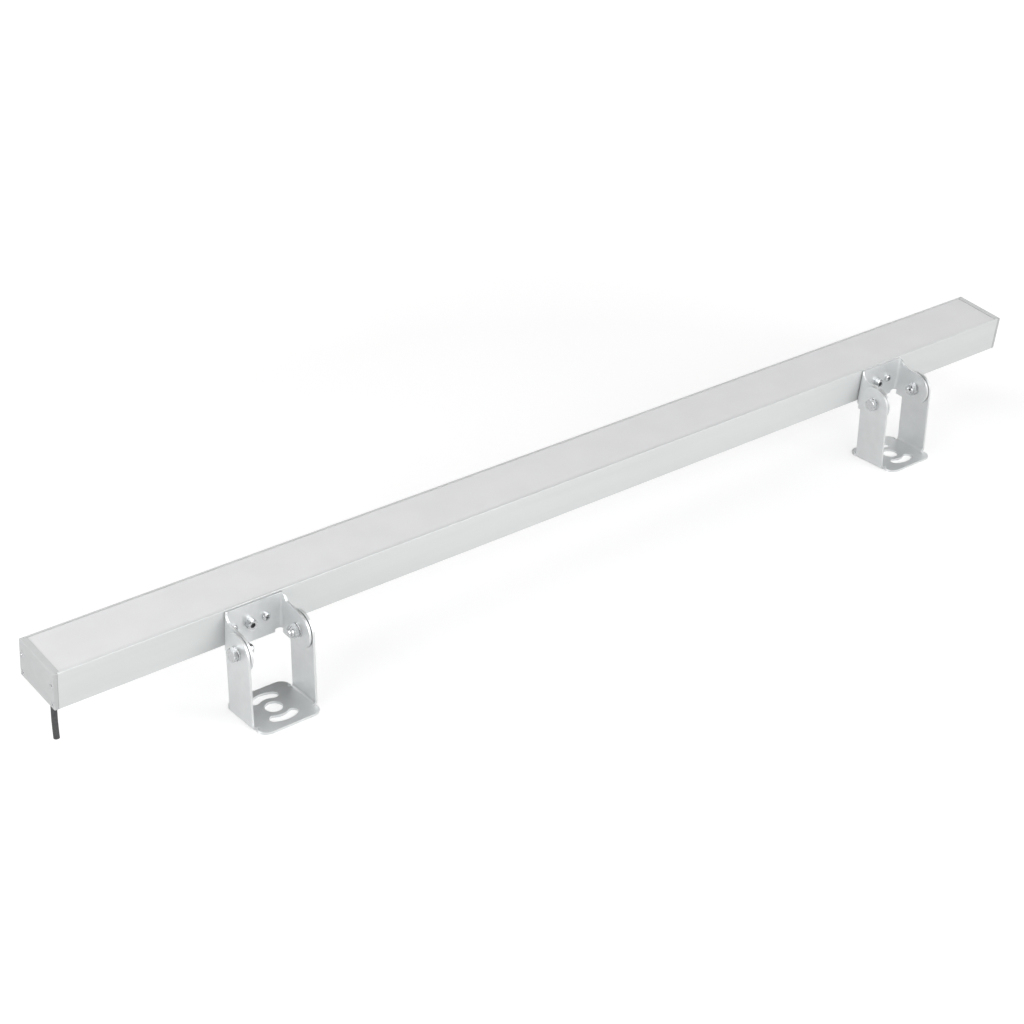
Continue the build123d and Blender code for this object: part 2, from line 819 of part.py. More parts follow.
bolt_outline = [
    (bolt_tip, 0),
    (bolt_tip, pivot_bolt_radius - bolt_tip_edge),
    (bolt_tip + bolt_tip_edge, pivot_bolt_radius),
    (head_seat, pivot_bolt_radius),
    (head_seat, hex_corner),
    (head_seat + bolt_head_height - hex_edge, hex_corner),
    (head_seat + bolt_head_height, hex_corner - 2 * hex_edge),
    (head_seat + bolt_head_height, 0),
]
nut_outline = [
    (nut_seat, pivot_bolt_radius + thread_clearance),
    (nut_seat, hex_corner),
    (nut_hex_end + hex_edge, hex_corner),
    (nut_hex_end, hex_corner - 2 * hex_edge),
    (nut_hex_end, nut_collar_radius),
    (nut_end + nut_collar_edge, nut_collar_radius),
    (nut_end, nut_collar_radius - nut_collar_edge),
    (nut_end, pivot_bolt_radius + thread_clearance),
]
for hand, sign in hands.items():
    middle = sign * bracket_spacing / 2
    save(make_ear_bracket(sign), f"ear_bracket_{hand}")
    save(make_web_bolt(sign), f"web_bolt_{hand}")
    save(make_web_screws(sign), f"web_screws_{hand}")
    save(make_nut_plate(sign), f"nut_plate_{hand}")
    save(make_base_bracket(sign), f"base_bracket_{hand}")
    save(make_hex_pair(middle, bolt_outline), f"pivot_bolts_{hand}")
    save(make_hex_pair(middle, nut_outline), f"pivot_nuts_{hand}")
    save(make_washers(middle), f"pivot_washers_{hand}")
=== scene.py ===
import math

import bmesh
import bpy
from mathutils import Matrix, Vector


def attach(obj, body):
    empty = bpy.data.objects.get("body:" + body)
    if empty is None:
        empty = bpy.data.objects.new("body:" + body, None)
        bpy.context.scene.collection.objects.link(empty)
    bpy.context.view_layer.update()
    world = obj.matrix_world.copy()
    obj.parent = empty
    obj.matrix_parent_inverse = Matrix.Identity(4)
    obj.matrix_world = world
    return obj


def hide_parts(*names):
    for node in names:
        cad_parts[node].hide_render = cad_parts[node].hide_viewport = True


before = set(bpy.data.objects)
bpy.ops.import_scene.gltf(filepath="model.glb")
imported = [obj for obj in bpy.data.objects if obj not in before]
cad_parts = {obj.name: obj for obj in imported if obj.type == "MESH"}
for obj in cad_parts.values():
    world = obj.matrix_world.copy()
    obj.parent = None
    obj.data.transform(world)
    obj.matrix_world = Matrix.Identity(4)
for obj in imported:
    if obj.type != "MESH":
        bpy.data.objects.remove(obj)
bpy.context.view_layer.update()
scene = bpy.context.scene

# Camera: a long lens about 1.8 m away, which looks down along the light from its cable end, on the
# side of the brackets. Its frame is square.
camera_data = bpy.data.cameras.new("camera")
camera_data.sensor_width = 36.0
camera_data.lens = 76.42
camera = bpy.data.objects.new("camera", camera_data)
camera.location = (-1.0477, -1.1602, 0.9156)
camera.rotation_euler = (math.radians(61.076), math.radians(-0.481), math.radians(-38.708))
scene.collection.objects.link(camera)
scene.camera = camera

# Supply cable: a short round lead in black rubber. It leaves the sleeve square to the underside
# and turns to hang straight down to its plain cut end.
MM = 0.001


def shader_of(finish):
    """The shader that carries a material's plain values."""
    return finish.node_tree.nodes["Principled BSDF"]


def new_finish(name, roughness, metallic=0.0):
    """A material with this roughness and metallic value."""
    finish = bpy.data.materials.new(name)
    finish.use_nodes = True
    shader_of(finish).inputs["Roughness"].default_value = roughness
    shader_of(finish).inputs["Metallic"].default_value = metallic
    return finish


def add_node(finish, kind, *feeds, **settings):
    """A node whose first inputs are fed by the given sockets."""
    node = finish.node_tree.nodes.new(kind)
    for name, value in settings.items():
        setattr(node, name, value)
    for index, feed in enumerate(feeds):
        finish.node_tree.links.new(feed, node.inputs[index])
    return node


def mottle(finish, size, stretch=(1, 1, 1), detail=3.0):
    """Noise on object coordinates; size is one patch in metres, and stretch draws it out."""
    place = add_node(finish, "ShaderNodeTexCoord").outputs["Object"]
    spread = add_node(finish, "ShaderNodeMapping", place)
    spread.inputs["Scale"].default_value = [1 / (size * s) for s in stretch]
    noise = add_node(finish, "ShaderNodeTexNoise", spread.outputs[0])
    noise.inputs["Scale"].default_value = 1.0
    noise.inputs["Detail"].default_value = detail
    return noise.outputs[0]


def colour_from(finish, pattern, dark, light, low=0.35, high=0.65):
    """Colour of the surface, from dark to light along the pattern."""
    ramp = add_node(finish, "ShaderNodeValToRGB", pattern)
    for stop, place, colour in zip(ramp.color_ramp.elements, (low, high), (dark, light)):
        stop.position = place
        stop.color = (*colour, 1)
    finish.node_tree.links.new(ramp.outputs[0], shader_of(finish).inputs["Base Color"])


def add_span(finish, feed, feed_low, feed_high, low, high):
    """A value that runs from low to high while its feed runs from feed_low to feed_high."""
    span = add_node(finish, "ShaderNodeMapRange", feed)
    span.inputs["From Min"].default_value = feed_low
    span.inputs["From Max"].default_value = feed_high
    span.inputs["To Min"].default_value = low
    span.inputs["To Max"].default_value = high
    return span.outputs[0]


def gloss_from(finish, pattern, smooth, rough):
    """Roughness of the surface, from smooth to rough along the pattern."""
    roughness = add_span(finish, pattern, 0.3, 0.7, smooth, rough)
    finish.node_tree.links.new(roughness, shader_of(finish).inputs["Roughness"])


def grain_from(finish, pattern, depth, strength):
    """Fine relief of the surface; depth is in metres."""
    bump = add_node(finish, "ShaderNodeBump")
    bump.inputs["Strength"].default_value = strength
    bump.inputs["Distance"].default_value = depth
    finish.node_tree.links.new(pattern, bump.inputs["Height"])
    finish.node_tree.links.new(bump.outputs[0], shader_of(finish).inputs["Normal"])


black_rubber = new_finish("black_rubber", 0.5)
rubber_dark, rubber_light = (0.060, 0.061, 0.063), (0.084, 0.085, 0.088)
colour_from(black_rubber, mottle(black_rubber, 2 * MM), rubber_dark, rubber_light)
gloss_from(black_rubber, mottle(black_rubber, 1.5 * MM), 0.42, 0.60)
grain_from(black_rubber, mottle(black_rubber, 0.3 * MM), 0.04 * MM, 0.5)

cable_radius = 2.4 * MM
cable_route = [
    (-0.488, 0.050905, 0.042145),
    (-0.488, 0.052037, 0.032209),
    (-0.488, 0.052637, 0.020209),
    (-0.488, 0.052337, 0.010209),
]
cable_line = bpy.data.curves.new("supply_cable_sheath", "CURVE")
cable_line.dimensions = "3D"
cable_line.bevel_depth = cable_radius
cable_line.bevel_resolution = 8
cable_line.resolution_u = 16
cable_line.use_fill_caps = True
run = cable_line.splines.new("NURBS")
run.points.add(len(cable_route) - 1)
for point, place in zip(run.points, cable_route):
    point.co = (*place, 1)
run.order_u = 3
run.use_endpoint_u = True
cable = bpy.data.objects.new("supply_cable_sheath", cable_line)
scene.collection.objects.link(cable)
cable_line.materials.append(black_rubber)
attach(cable, "lamp")
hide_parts("supply_cable")

# Cut end of the cable: two copper cores, each in its own brown plastic insulation. They are cut off
# square, level with the black sheath.
sharp_from = math.radians(32)


def finished(name, shape, finish, body, stands_for=()):
    """Turn a bmesh into a piece that rides on a body and stands for CAD nodes."""
    bmesh.ops.recalc_face_normals(shape, faces=shape.faces)
    for face in shape.faces:
        face.smooth = True
    for edge in shape.edges:
        edge.smooth = len(edge.link_faces) == 2 and edge.calc_face_angle() < sharp_from
    mesh = bpy.data.meshes.new(name)
    shape.to_mesh(mesh)
    shape.free()
    piece = bpy.data.objects.new(name, mesh)
    scene.collection.objects.link(piece)
    for layer in finish if isinstance(finish, tuple) else (finish,):
        mesh.materials.append(layer)
    flats = piece.modifiers.new("flats", "WEIGHTED_NORMAL")
    flats.keep_sharp = True
    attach(piece, body)
    if stands_for:
        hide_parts(*stands_for)
    return piece


def turned(outline, steps=48):
    """A shape turned about Z from its (radius, height) outline; poles are closed."""
    shape = bmesh.new()
    corners = [shape.verts.new((radius * MM, 0, height * MM)) for radius, height in outline]
    sides = [shape.edges.new(pair) for pair in zip(corners, corners[1:])]
    bmesh.ops.spin(
        shape, geom=corners + sides, cent=(0, 0, 0), axis=(0, 0, 1),
        angle=math.tau, steps=steps, use_merge=True, use_duplicate=False,
    )
    bmesh.ops.remove_doubles(shape, verts=shape.verts, dist=1e-7)
    bmesh.ops.recalc_face_normals(shape, faces=shape.faces)
    return shape


def put(shape, copy, placement, finish_index=0):
    """Add a placed copy of one bmesh to another."""
    model = bpy.data.meshes.new("copy")
    copy.to_mesh(model)
    old_verts, old_faces = len(shape.verts), len(shape.faces)
    shape.from_mesh(model)
    shape.verts.ensure_lookup_table()
    shape.faces.ensure_lookup_table()
    bmesh.ops.transform(shape, matrix=placement, verts=shape.verts[old_verts:])
    for face in shape.faces[old_faces:]:
        face.material_index += finish_index
    bpy.data.meshes.remove(model)


core_insulation = new_finish("core_insulation", 0.4)
brown_dark, brown_light = (0.24, 0.10, 0.04), (0.34, 0.15, 0.07)
colour_from(core_insulation, mottle(core_insulation, 1 * MM), brown_dark, brown_light)
copper = new_finish("copper", 0.35, metallic=1.0)
colour_from(copper, mottle(copper, 0.3 * MM), (0.80, 0.36, 0.22), (0.93, 0.50, 0.33))

core_offset, core_radius, wire_radius = 1.1, 0.75, 0.40
cut_centre = Vector(cable_route[-1])
cut_way = (cut_centre - Vector(cable_route[-2])).normalized()
cut_place = Matrix.Translation(cut_centre) @ cut_way.to_track_quat("Z", "Y").to_matrix().to_4x4()
cut_end = bmesh.new()
for offset in (-core_offset, core_offset):
    core_place = cut_place @ Matrix.Translation((offset * MM, 0, 0))
    insulation = turned([
        (0, -1), (core_radius, -1), (core_radius, 0.1), (core_radius - 0.05, 0.15), (0, 0.15),
    ], 24)
    conductor = turned([(0, 0), (wire_radius, 0), (wire_radius, 0.22), (0, 0.26)], 16)
    put(cut_end, insulation, core_place)
    put(cut_end, conductor, core_place, 1)
    insulation.free()
    conductor.free()
cable_cores = finished("supply_cable_cut_cores", cut_end, (core_insulation, copper), "lamp")

# Sleeve of the cable: soft black rubber, moulded with a flange on both sides of the housing's
# floor. It tapers outwards, and rings are cut in it so that it bends with the cable.
pivot_height, rest_tilt = 60.5, 6.5
pivot_reach, pivot_rise = 48.5, 10.0
underside = Matrix.Translation((0, 0, pivot_height * MM))
underside = underside @ Matrix.Rotation(math.radians(rest_tilt), 4, "X")
underside = underside @ Matrix.Translation((0, pivot_reach * MM, -pivot_rise * MM))

sleeve_station = -488.0
sleeve_bore, sleeve_end = 2.5, -14
root_radius, taper, tapered_length = 4.5, 1.2, 12.8
flange_radius, flange_face, neck_radius, neck_length = 5.2, 5.0, 4.0, 1.8
ring_spacing, ring_depth = 2.4, 0.7
sleeve_outline = [(sleeve_bore, sleeve_end), (3.1, sleeve_end), (3.3, sleeve_end + 0.2)]
for ring in range(4, -1, -1):
    low = -3.0 - ring * ring_spacing
    outer = root_radius - taper * (-low - 1.2) / tapered_length
    inner = outer - ring_depth
    sleeve_outline += [
        (outer, low), (inner, low + 0.2), (inner, low + 0.9), (outer + 0.1, low + 1.1),
    ]
sleeve_outline += [
    (root_radius, -1.2), (flange_face, -1.2), (flange_radius, -1.0), (flange_radius, -0.2),
    (flange_face, 0), (neck_radius, 0), (neck_radius, neck_length), (flange_face, neck_length),
    (flange_radius, 2.0), (flange_radius, 2.8), (flange_face, 3.0), (sleeve_bore, 3.0),
    (sleeve_bore, sleeve_end),
]
sleeve = turned(sleeve_outline)
sleeve_place = underside @ Matrix.Translation((sleeve_station * MM, 0, 0))
bmesh.ops.transform(sleeve, matrix=sleeve_place, verts=sleeve.verts)
finished("supply_cable_sleeve", sleeve, black_rubber, "lamp", ["strain_relief"])

# Base brackets: 2 mm zinc plated steel. Each is cut flat with its hole and curved slots, its rims
# are tumbled round, and its two arms are folded up.
def add_outline(blank, points):
    """A closed Bezier outline from (place, handle before, handle after) points."""
    line = blank.splines.new("BEZIER")
    line.bezier_points.add(len(points) - 1)
    for knot, (place, before, after) in zip(line.bezier_points, points):
        knot.handle_left_type = "FREE" if before else "VECTOR"
        knot.handle_right_type = "FREE" if after else "VECTOR"
        knot.co = place
        if before:
            knot.handle_left = before
        if after:
            knot.handle_right = after
    line.use_cyclic_u = True


def add_corners(blank, corners):
    """A closed outline through (across, along, radius) corners, each rounded by its radius."""
    points = []
    for index, (across, along, radius) in enumerate(corners):
        corner = Vector((across, along, 0))
        back = (Vector((*corners[index - 1][:2], 0)) - corner).normalized()
        on = (Vector((*corners[(index + 1) % len(corners)][:2], 0)) - corner).normalized()
        turn = math.pi - back.angle(on)
        reach, grip = radius * math.tan(turn / 2), radius * 4 / 3 * math.tan(turn / 4)
        start, end = corner + back * reach, corner + on * reach
        if points and (points[-1][0] - start).length < 1e-6:
            points[-1][2] = start - back * grip
        else:
            points.append([start, None, start - back * grip])
        points.append([end, end - on * grip, None])
    if (points[0][0] - points[-1][0]).length < 1e-6:
        points[0][1] = points.pop()[1]
    add_outline(blank, points)


def add_round(blank, across, along, radius):
    """A round hole."""
    add_corners(blank, [(across + x * radius, along + y * radius, radius)
                        for x, y in ((-1, -1), (1, -1), (1, 1), (-1, 1))])


def add_arc_slot(blank, radius, width, half_angle, middle):
    """A curved slot with round ends."""
    round_grip = width / 2 * 4 / 3 * math.tan(math.pi / 8)
    points = []
    for way in (1, -1):
        angle = middle + way * half_angle
        out = Vector((math.cos(angle), math.sin(angle), 0))
        along = Vector((-out.y, out.x, 0)) * way
        outer, inner = out * (radius + width / 2), out * (radius - width / 2)
        outer_grip = (radius + width / 2) * 4 / 3 * math.tan(half_angle / 2)
        inner_grip = (radius - width / 2) * 4 / 3 * math.tan(half_angle / 2)
        tip = out * radius + along * width / 2
        end = [
            (outer, outer - along * outer_grip, outer + along * round_grip),
            (tip, tip + out * round_grip, tip - out * round_grip),
            (inner, inner + along * round_grip, inner - along * inner_grip),
        ]
        if way < 0:
            end = [(place, after, before) for place, before, after in reversed(end)]
        points += end
    add_outline(blank, points)


def cut_blank(name, draw, thickness, rim):
    """A flat sheet with round rims, in mm, as a bmesh."""
    blank = bpy.data.curves.new(name, "CURVE")
    blank.dimensions = "2D"
    blank.fill_mode = "BOTH"
    blank.resolution_u = 10
    blank.extrude = thickness / 2 - rim
    blank.bevel_depth = rim
    blank.bevel_resolution = 2
    blank.offset = -rim
    draw(blank)
    holder = bpy.data.objects.new(name, blank)
    scene.collection.objects.link(holder)
    bpy.context.view_layer.update()
    scene_state = bpy.context.evaluated_depsgraph_get()
    flat = bpy.data.meshes.new_from_object(holder.evaluated_get(scene_state))
    sheet = bmesh.new()
    sheet.from_mesh(flat)
    bmesh.ops.remove_doubles(sheet, verts=sheet.verts, dist=1e-4)
    bpy.data.objects.remove(holder)
    bpy.data.curves.remove(blank)
    bpy.data.meshes.remove(flat)
    return sheet


def fold_ends_up(sheet, flat_half, bend_radius, steps=7):
    """Fold both ends of a flat sheet up square, about bends of this radius at mid thickness."""
    bend_length = bend_radius * math.pi / 2
    for side in (-1, 1):
        for step in range(steps + 1):
            line = flat_half + bend_length * step / steps
            bmesh.ops.bisect_plane(
                sheet, geom=sheet.verts[:] + sheet.edges[:] + sheet.faces[:], dist=1e-5,
                plane_co=(side * line, 0, 0), plane_no=(side, 0, 0),
            )
    for vert in sheet.verts:
        past = abs(vert.co.x) - flat_half
        if past > 0:
            angle = min(past / bend_radius, math.pi / 2)
            straight = max(past - bend_length, 0)
            side = math.copysign(1, vert.co.x)
            lift = vert.co.z
            vert.co.x = side * (flat_half + (bend_radius - lift) * math.sin(angle))
            vert.co.z = bend_radius - (bend_radius - lift) * math.cos(angle) + straight


zinc_sheet = new_finish("zinc_plated_sheet", 0.42, metallic=0.85)
zinc_dark, zinc_light = (0.82, 0.835, 0.84), (0.85, 0.865, 0.87)
colour_from(zinc_sheet, mottle(zinc_sheet, 9 * MM, detail=5.0), zinc_dark, zinc_light)
gloss_from(zinc_sheet, mottle(zinc_sheet, 4 * MM, detail=6.0), 0.40, 0.50)
grain_from(zinc_sheet, mottle(zinc_sheet, 0.25 * MM, (1, 1, 12)), 0.015 * MM, 0.35)

sheet_thickness, rim_round, small_corner = 2.0, 0.15, 0.4
plate_half, plate_corner = 27.0, 9.0
relief_start, relief_edge = 23.5, 17.5
arm_middle, arm_bend, arm_half = 28.0, 3.0, 15.5
centre_hole, pivot_hole = 7.0, 3.08
slot_radius, slot_width, slot_half_angle = 16.0, 8.0, math.radians(31)
arm_fold = arm_middle - arm_bend
arm_rise = pivot_height - sheet_thickness / 2 - arm_bend
arm_tip = arm_fold + arm_bend * math.pi / 2 + arm_rise + arm_half


def draw_base(blank):
    """The base's flat outline, with its holes and slots."""
    half = [
        (plate_half, -plate_half, plate_corner), (plate_half, -relief_edge, small_corner),
        (relief_start, -relief_edge, small_corner), (relief_start, -arm_half, small_corner),
        (arm_tip, -arm_half, arm_half), (arm_tip, arm_half, arm_half),
        (relief_start, arm_half, small_corner), (relief_start, relief_edge, small_corner),
        (plate_half, relief_edge, small_corner), (plate_half, plate_half, plate_corner),
    ]
    other_half = [(-across, along, radius) for across, along, radius in reversed(half)]
    add_corners(blank, half + other_half)
    add_round(blank, 0, 0, centre_hole)
    for side in (-1, 1):
        add_round(blank, side * (arm_tip - arm_half), 0, pivot_hole)
        add_arc_slot(blank, slot_radius, slot_width, slot_half_angle, side * math.pi / 2)


hands = {"left": (-336.0, "left_base"), "right": (336.0, "right_base")}
for hand, (station, body) in hands.items():
    base = cut_blank("base_blank", draw_base, sheet_thickness, rim_round)
    fold_ends_up(base, arm_fold, arm_bend)
    lay_down = Matrix.Scale(MM, 4) @ Matrix.Translation((station, 0, sheet_thickness / 2))
    bmesh.ops.transform(base, matrix=lay_down, verts=base.verts)
    finished(f"{hand}_base_sheet", base, zinc_sheet, body, [f"base_bracket_{hand}"])

# Ear brackets: the same sheet. The web lies on the light's side face, bevelled at its top corners
# and notched beside the folds, and the two ears end in round noses about the pivot.
web_middle, web_front = 26.0, 27.0
web_half, web_foot, notch_top, web_top = 18.9, -4.2, -1.3, 31.5
ear_middle, ear_bend, ear_radius, shoulder_height = 25.2, 3.2, 15.2, 28.0
fastener_shift, fastener_height = -4.2, 14.5
screw_reach, bolt_hole, screw_hole = 14.2, 2.8, 2.3
ear_fold = ear_middle - ear_bend
ear_start = ear_fold + ear_bend * math.pi / 2
ear_pivot = ear_start + (pivot_reach - web_middle) - ear_bend


def draw_ears(blank):
    """The ears' and web's flat outline, with their holes."""
    ear_tip = ear_pivot + ear_radius
    ear_foot, ear_top = pivot_rise - ear_radius, pivot_rise + ear_radius
    half = [
        (web_half, web_foot, small_corner), (web_half, notch_top, small_corner),
        (ear_start, notch_top, small_corner), (ear_start, ear_foot, small_corner),
        (ear_tip, ear_foot, ear_radius), (ear_tip, ear_top, ear_radius),
        (ear_start + 2.8, ear_top, 1.0), (ear_start, shoulder_height, 1.0),
        (24.9, 30.0, small_corner), (24.1, web_top, small_corner),
    ]
    other_half = [(-across, along, radius) for across, along, radius in reversed(half)]
    add_corners(blank, half + other_half)
    add_round(blank, fastener_shift, fastener_height, bolt_hole)
    for side in (-1, 1):
        add_round(blank, fastener_shift + side * screw_reach, fastener_height, screw_hole)
        add_round(blank, side * ear_pivot, pivot_rise, pivot_hole)


for hand, (station, body) in hands.items():
    ears = cut_blank("ear_blank", draw_ears, sheet_thickness, rim_round)
    fold_ends_up(ears, ear_fold, ear_bend)
    stand_up = underside @ Matrix.Scale(MM, 4) @ Matrix.Translation((station, -web_middle, 0))
    stand_up = stand_up @ Matrix.Rotation(math.pi / 2, 4, "X")
    bmesh.ops.transform(ears, matrix=stand_up, verts=ears.verts)
    finished(f"{hand}_ear_sheet", ears, zinc_sheet, "lamp", [f"ear_bracket_{hand}"])

# Pivots: bright zinc M6 hexagon bolts with lock nuts, one pair through each arm and ear, and plain
# washers outside, between and inside the sheets. Six flats are cut on each turned head and nut.
bright_zinc = new_finish("bright_zinc", 0.28, metallic=1.0)
colour_from(bright_zinc, mottle(bright_zinc, 1.5 * MM), (0.62, 0.63, 0.64), (0.78, 0.79, 0.80))
gloss_from(bright_zinc, mottle(bright_zinc, 0.8 * MM, detail=5.0), 0.13, 0.25)
grain_from(bright_zinc, mottle(bright_zinc, 0.4 * MM), 0.02 * MM, 0.4)


def cut_flats(shape, across):
    """Cut six flats on a turned shape and close them."""
    for turn in range(6):
        way = Vector((math.cos(turn * math.pi / 3), math.sin(turn * math.pi / 3), 0))
        cut = bmesh.ops.bisect_plane(
            shape, geom=shape.verts[:] + shape.edges[:] + shape.faces[:], dist=1e-8,
            plane_co=way * across / 2 * MM, plane_no=way, clear_outer=True,
        )
        rim = [part for part in cut["geom_cut"] if isinstance(part, bmesh.types.BMEdge)]
        bmesh.ops.edgeloop_fill(shape, edges=rim)


head_flats, head_bevel = 10.0, 4.75
head_corner = head_flats / 2 / math.cos(math.pi / 6)
tip, seat, crown = 15.3, 30.6, 34.6
shank_radius, thread_root, pitch, turns = 2.97, 2.5, 1.0, 8
thread_start, thread_end = tip + 0.35, 24.6
bolt_outline = [(0, tip), (2.2, tip), (2.55, thread_start)]
for turn in range(turns):
    low = thread_start + turn * pitch
    bolt_outline += [
        (shank_radius, low + 0.40), (shank_radius, low + 0.52), (thread_root, low + 0.92),
    ]
bolt_outline += [
    (shank_radius, thread_end), (shank_radius, seat), (4.7, seat), (4.8, seat + 0.2),
    (head_corner - 0.3, seat + 0.2), (head_corner, seat + 0.4), (head_corner, crown - 0.6),
    (head_bevel, crown), (4.0, crown), (3.8, crown - 0.12), (0, crown - 0.12),
]
nut_bore, collar_radius = 3.0, 4.3
nut_seat, nut_step, nut_end = 22.6, 18.2, 16.6
nut_outline = [
    (nut_bore, nut_seat - 0.5), (3.35, nut_seat), (head_bevel, nut_seat),
    (head_corner, nut_seat - 0.6), (head_corner, nut_step + 0.6), (head_bevel, nut_step),
    (collar_radius, nut_step), (collar_radius, nut_end + 0.7), (4.1, nut_end + 0.2),
    (3.6, nut_end), (nut_bore, nut_end), (nut_bore, nut_seat - 0.5),
]


def washer_outline(start, end, edge=0.15, bore=3.2, rim=6.0):
    """A washer between two heights along the bolt, with its outer edges rounded."""
    return [
        (bore, start), (rim - edge, start), (rim, start + edge), (rim, end - edge),
        (rim - edge, end), (bore, end), (bore, start),
    ]


outer_washer = washer_outline(29.0, seat)
thin_washer = washer_outline(26.2, 27.0, 0.1)
inner_washer = washer_outline(nut_seat, 24.2)
head_turns = {-1: 17, 1: 44}
for hand, (station, body) in hands.items():
    for kind, outlines in (
        ("bolts", [bolt_outline]),
        ("nuts", [nut_outline]),
        ("washers", [outer_washer, thin_washer, inner_washer]),
    ):
        pair = bmesh.new()
        for side, head_turn in head_turns.items():
            pivot = Matrix.Translation((station * MM, 0, pivot_height * MM))
            aim = pivot @ Matrix.Rotation(side * math.pi / 2, 4, "Y")
            aim = aim @ Matrix.Rotation(math.radians(head_turn + station / 12), 4, "Z")
            for outline in outlines:
                single = turned(outline, 72)
                if kind != "washers":
                    cut_flats(single, head_flats)
                put(pair, single, aim)
                single.free()
        node = f"pivot_{kind}_{hand}"
        finished(f"{hand}_pivot_{kind}", pair, bright_zinc, body, [node])

# Web bolts: M5 socket cap screws in bright zinc, with a knurled head and a hexagon socket. Each
# sits flat on its web, a little off the middle.
def paint_recess_shade(screw, top, reach):
    """Mark the faces sunk into a head below its top, within reach of its middle, for the painted
    shade.
    """
    for face in screw.faces:
        middle = face.calc_center_median()
        if middle.xy.length < reach * MM and (top - 4) * MM < middle.z < (top - 0.15) * MM:
            face.material_index = 1


# Painted shade: a dark finish on the faces inside sockets and crossed recesses, where shade falls.
recess_shade_paint = new_finish("painted_shade_in_recess", 0.6, metallic=0.7)
colour_from(recess_shade_paint, mottle(recess_shade_paint, 0.5 * MM), (0.17, 0.175, 0.18), (0.26, 0.265, 0.27))


def socket_screw():
    """Head up, its seat at zero."""
    ribs, knurl_depth = 72, 0.16
    head_radius, head_height = 4.25, 5.0
    socket_flats, socket_depth = 4.0, 2.4
    screw = turned([
        (0, -9), (2.2, -9), (2.5, -8.7), (2.5, 0), (4.05, 0), (head_radius, 0.2),
        (head_radius, 0.6), (head_radius, 4.2), (head_radius, 4.5), (3.85, head_height),
        (2.9, head_height),
    ], ribs)
    step = math.tau / ribs
    for vert in screw.verts:
        radius = vert.co.xy.length
        column = round(math.atan2(vert.co.y, vert.co.x) / step)
        if radius > 4.2 * MM and 0.5 * MM < vert.co.z < 4.3 * MM and column % 2:
            vert.co.xy *= 1 - knurl_depth * MM / radius
    rim = [edge for edge in screw.edges if edge.is_boundary]
    hexagon = bmesh.ops.create_circle(
        screw, cap_ends=False, segments=6,
        radius=socket_flats / 2 * MM / math.cos(math.pi / 6),
        matrix=Matrix.Translation((0, 0, (head_height - 0.1) * MM)),
    )
    socket = list({edge for vert in hexagon["verts"] for edge in vert.link_edges})
    bmesh.ops.subdivide_edges(screw, edges=socket, cuts=ribs // 6 - 1)
    socket = [edge for edge in screw.edges if edge.is_wire]
    bmesh.ops.bridge_loops(screw, edges=rim + socket)
    walls = bmesh.ops.extrude_edge_only(screw, edges=[edge for edge in socket if edge.is_valid])
    floor = [part for part in walls["geom"] if isinstance(part, bmesh.types.BMVert)]
    bmesh.ops.translate(screw, verts=floor, vec=(0, 0, -socket_depth * MM))
    drawn = [part for part in walls["geom"] if isinstance(part, bmesh.types.BMEdge)]
    base = bmesh.ops.edgeloop_fill(screw, edges=[edge for edge in drawn if edge.is_boundary])
    bmesh.ops.poke(screw, faces=base["faces"], offset=-0.6 * MM)
    # The socket's walls and floor get the painted shade.
    paint_recess_shade(screw, head_height - 0.1, 2.6)
    return screw


def web_place(station, turn):
    """Where a screw sits on the web: its axis square to the side face."""
    place = Matrix.Translation((station * MM, -web_front * MM, fastener_height * MM))
    return underside @ place @ Matrix.Rotation(math.pi / 2, 4, "X") @ Matrix.Rotation(turn, 4, "Z")


socket_bolt = socket_screw()
for hand, (station, body) in hands.items():
    web_bolt = bmesh.new()
    put(web_bolt, socket_bolt, web_place(station + fastener_shift, 0.3))
    finished(
        f"{hand}_web_bolt", web_bolt, (bright_zinc, recess_shade_paint), "lamp",
        [f"web_bolt_{hand}"],
    )
socket_bolt.free()

# Web screws and cap screws: steel, plated with bright zinc. A crossed recess is pressed into each
# pan head on the webs, and into each countersunk head that sits flush in an end cap.
def press_cross(screw, top, size, depth):
    """Press a crossed recess into a head whose top is at this height."""
    for turn in (0, math.pi / 2):
        blade = bmesh.new()
        bmesh.ops.create_cube(blade, size=1.0)
        for vert in blade.verts:
            lower = vert.co.z < 0
            vert.co.x *= size * (0.55 if lower else 1.15) * MM
            vert.co.y *= size * (0.17 if lower else 0.26) * MM
            vert.co.z = (top - depth if lower else top + 0.15 * depth) * MM
        quarter_turn = Matrix.Rotation(turn, 3, "Z")
        bmesh.ops.rotate(blade, verts=blade.verts, cent=(0, 0, 0), matrix=quarter_turn)
        bodies = []
        for form in (screw, blade):
            mesh = bpy.data.meshes.new("pressing")
            form.to_mesh(mesh)
            bodies.append(bpy.data.objects.new("pressing", mesh))
            scene.collection.objects.link(bodies[-1])
        cut = bodies[0].modifiers.new("cross", "BOOLEAN")
        cut.object = bodies[1]
        cut.operation = "DIFFERENCE"
        cut.solver = "EXACT"
        bpy.context.view_layer.update()
        scene_state = bpy.context.evaluated_depsgraph_get()
        pressed = bpy.data.meshes.new_from_object(bodies[0].evaluated_get(scene_state))
        screw.clear()
        screw.from_mesh(pressed)
        blade.free()
        bpy.data.meshes.remove(pressed)
        for form in bodies:
            mesh = form.data
            bpy.data.objects.remove(form)
            bpy.data.meshes.remove(mesh)


